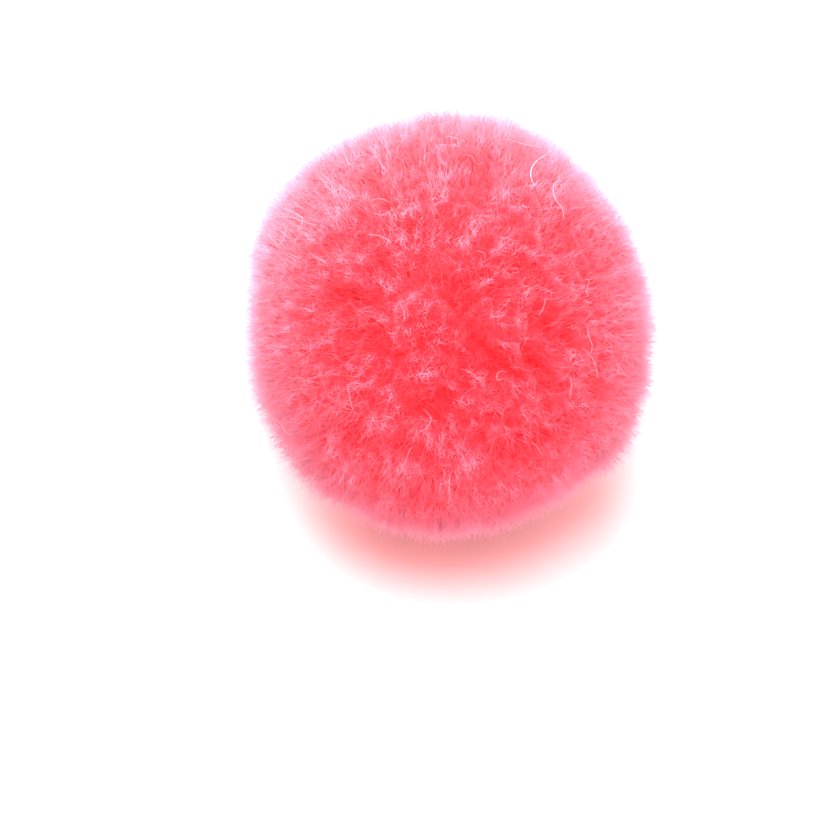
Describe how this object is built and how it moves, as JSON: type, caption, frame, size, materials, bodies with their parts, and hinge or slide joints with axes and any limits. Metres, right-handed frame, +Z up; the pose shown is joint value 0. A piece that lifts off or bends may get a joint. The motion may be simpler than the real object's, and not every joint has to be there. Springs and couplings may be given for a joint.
{
  "type": "yarn pom pom",
  "caption": "Small fluffy yarn ball, cut pile bound at its hidden middle and trimmed round, for trimming hats, garlands and crafts.",
  "frame": {"origin": "on the surface that the pom pom rests on, under the middle of its bounding box", "axes": "+Z up through the ball, +Y away from the side shown first, along its longest extent, +X to the right of that side"},
  "size_m": [0.0196, 0.02, 0.0195],
  "materials": {
    "coral_yarn": "fluffy matt cut yarn"
  },
  "bodies": {
    "root": {"yarn_pile": "coral_yarn"}
  },
  "joints": []
}
